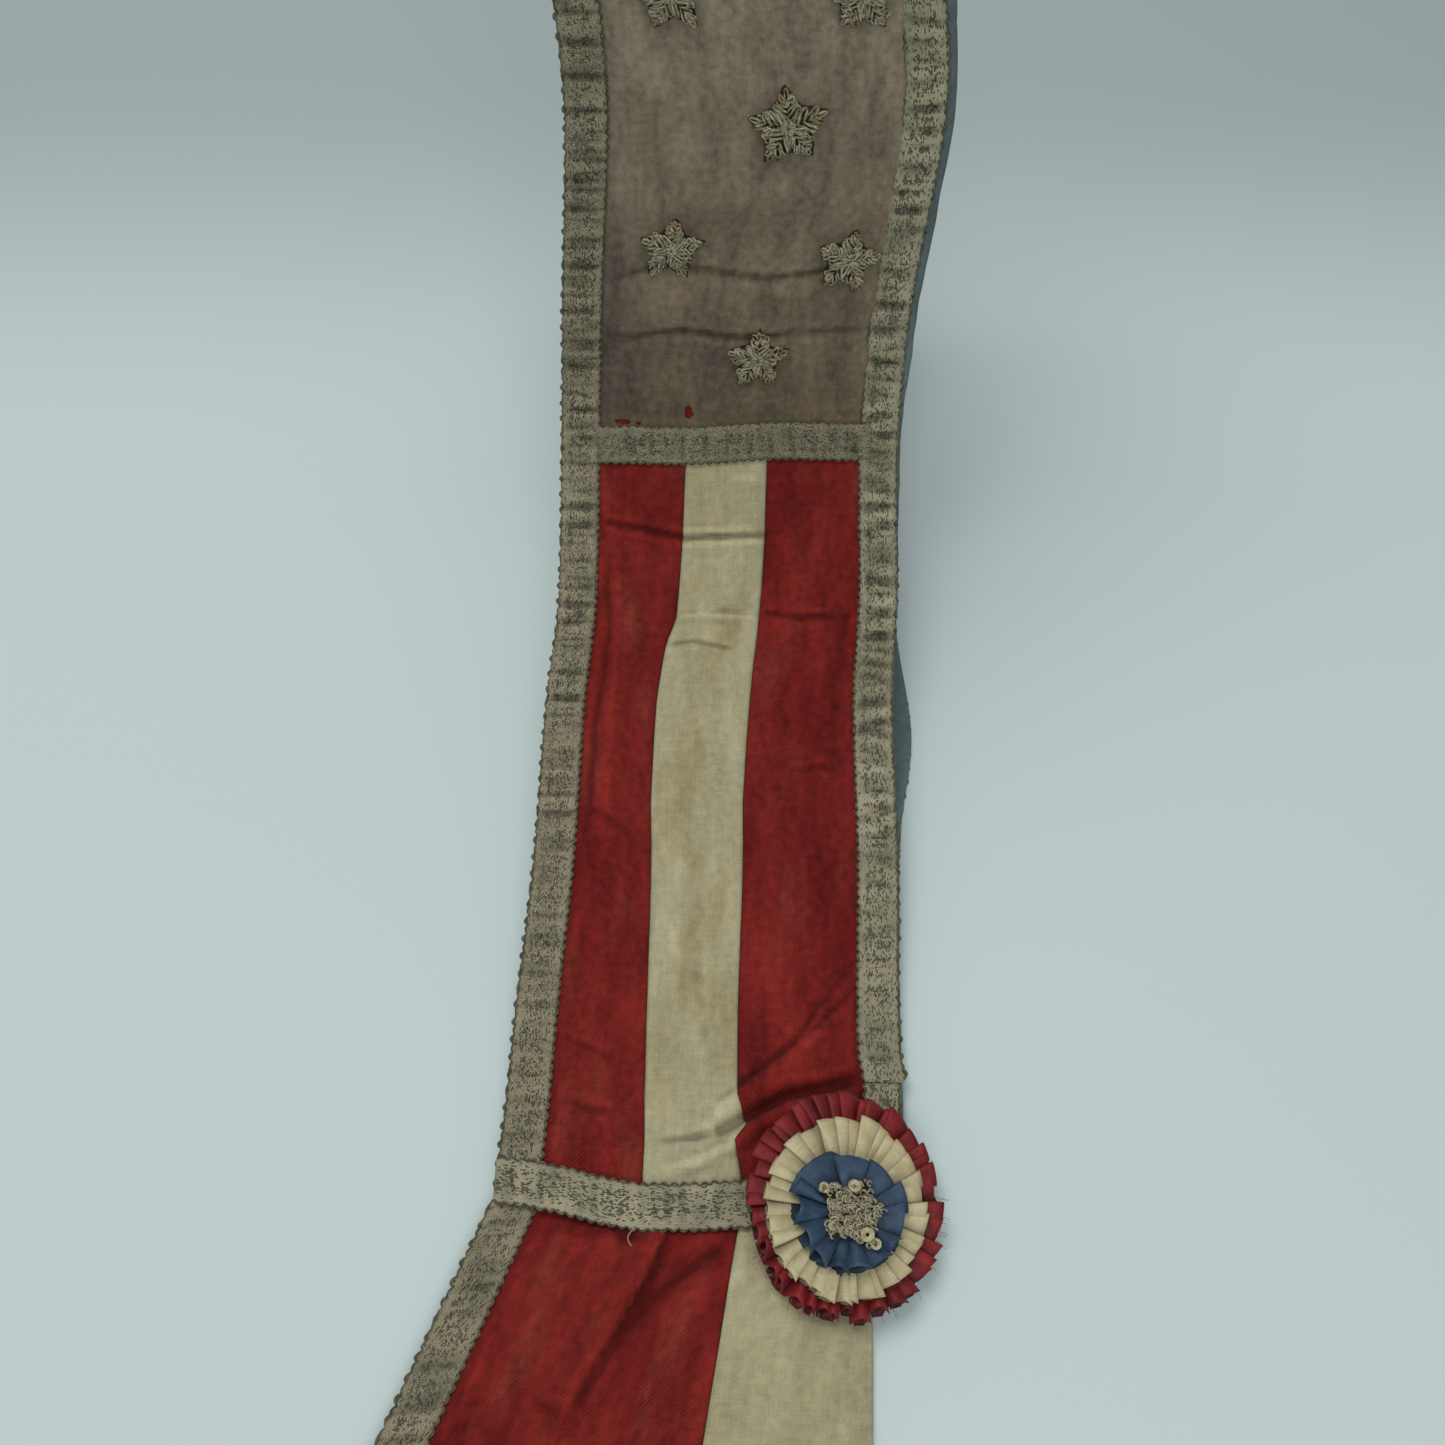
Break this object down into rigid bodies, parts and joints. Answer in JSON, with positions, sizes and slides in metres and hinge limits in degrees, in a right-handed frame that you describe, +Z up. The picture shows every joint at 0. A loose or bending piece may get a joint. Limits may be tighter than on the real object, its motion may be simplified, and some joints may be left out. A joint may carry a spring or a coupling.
{
  "type": "award sash",
  "caption": "Patriotic award sash worn over one shoulder: striped cloth loop with a star field, metal lace edging, flared tail and pleated hip rosette, draped for display.",
  "frame": {"origin": "under the middle of the whole sash, on the surface it lies on", "axes": "+Z up, -Y toward the tail and the viewer, +X to the viewer's right"},
  "size_m": [0.1812, 0.4936, 0.3571],
  "materials": {
    "silver_lace": "tarnished silver galloon lace with a dark fleck and scalloped edges",
    "red_twill": "faded brick-red cotton twill",
    "cream_cloth": "aged cream plain-weave cotton",
    "star_cloth": "blue cloth faded to brown-mauve",
    "lining_cotton": "blue-grey glazed cotton lining",
    "canvas": "stiff unbleached canvas",
    "bullion": "tarnished silver bullion and spangles",
    "red_ribbon": "pleated red ribbon",
    "cream_ribbon": "pleated cream ribbon",
    "blue_ribbon": "pleated blue ribbon"
  },
  "bodies": {
    "sash": {"sash_lining": "lining_cotton", "sash_interlining": "canvas", "left_edge_lace": "silver_lace", "right_edge_lace": "silver_lace", "right_lace_end_piece": "silver_lace", "front_cross_band": "silver_lace", "back_cross_band": "silver_lace", "hip_band": "silver_lace", "front_star_field": "star_cloth", "front_left_red_stripe": "red_twill", "front_cream_stripe": "cream_cloth", "front_right_red_stripe": "red_twill", "front_star_01": "bullion", "front_star_02": "bullion", "front_star_03": "bullion", "front_star_04": "bullion", "front_star_05": "bullion", "front_star_06": "bullion", "front_star_07": "bullion", "front_star_08": "bullion", "front_star_09": "bullion", "front_star_10": "bullion", "front_star_11": "bullion", "front_star_12": "bullion", "front_star_13": "bullion", "back_star_field": "star_cloth", "back_left_red_stripe": "red_twill", "back_cream_stripe": "cream_cloth", "back_right_red_stripe": "red_twill", "back_star_01": "bullion", "back_star_02": "bullion", "back_star_03": "bullion", "back_star_04": "bullion", "back_star_05": "bullion", "back_star_06": "bullion", "back_star_07": "bullion", "back_star_08": "bullion", "back_star_09": "bullion", "back_star_10": "bullion", "back_star_11": "bullion", "back_star_12": "bullion", "back_star_13": "bullion", "tail_head_lining": "lining_cotton", "tail_head_left_lace": "silver_lace", "tail_head_left_red": "red_twill", "tail_head_cream": "cream_cloth", "tail_head_right_red": "red_twill", "tail_head_right_lace": "silver_lace"},
    "tail": {"tail_lining": "lining_cotton", "tail_left_lace": "silver_lace", "tail_left_red": "red_twill", "tail_cream": "cream_cloth", "tail_right_red": "red_twill", "tail_right_lace": "silver_lace", "tail_end_lace": "silver_lace"},
    "rosette": {"rosette_backing": "canvas", "rosette_red_ruffle": "red_ribbon", "rosette_cream_ruffle": "cream_ribbon", "rosette_blue_ruffle": "blue_ribbon", "rosette_star": "bullion"}
  },
  "joints": [
    {"name": "tail_hinge", "type": "hinge", "parent": "sash", "child": "tail", "pos_m": [0.0156, -0.16877, 0.0047], "axis": [-1, 0, 0], "range_deg": [0, 90]},
    {"name": "rosette_swivel", "type": "hinge", "parent": "sash", "child": "rosette", "pos_m": [0.0559, -0.13177, 0.0098], "axis": [0.1043, -0.0698, 0.9921], "range_deg": [-12, 12]}
  ]
}
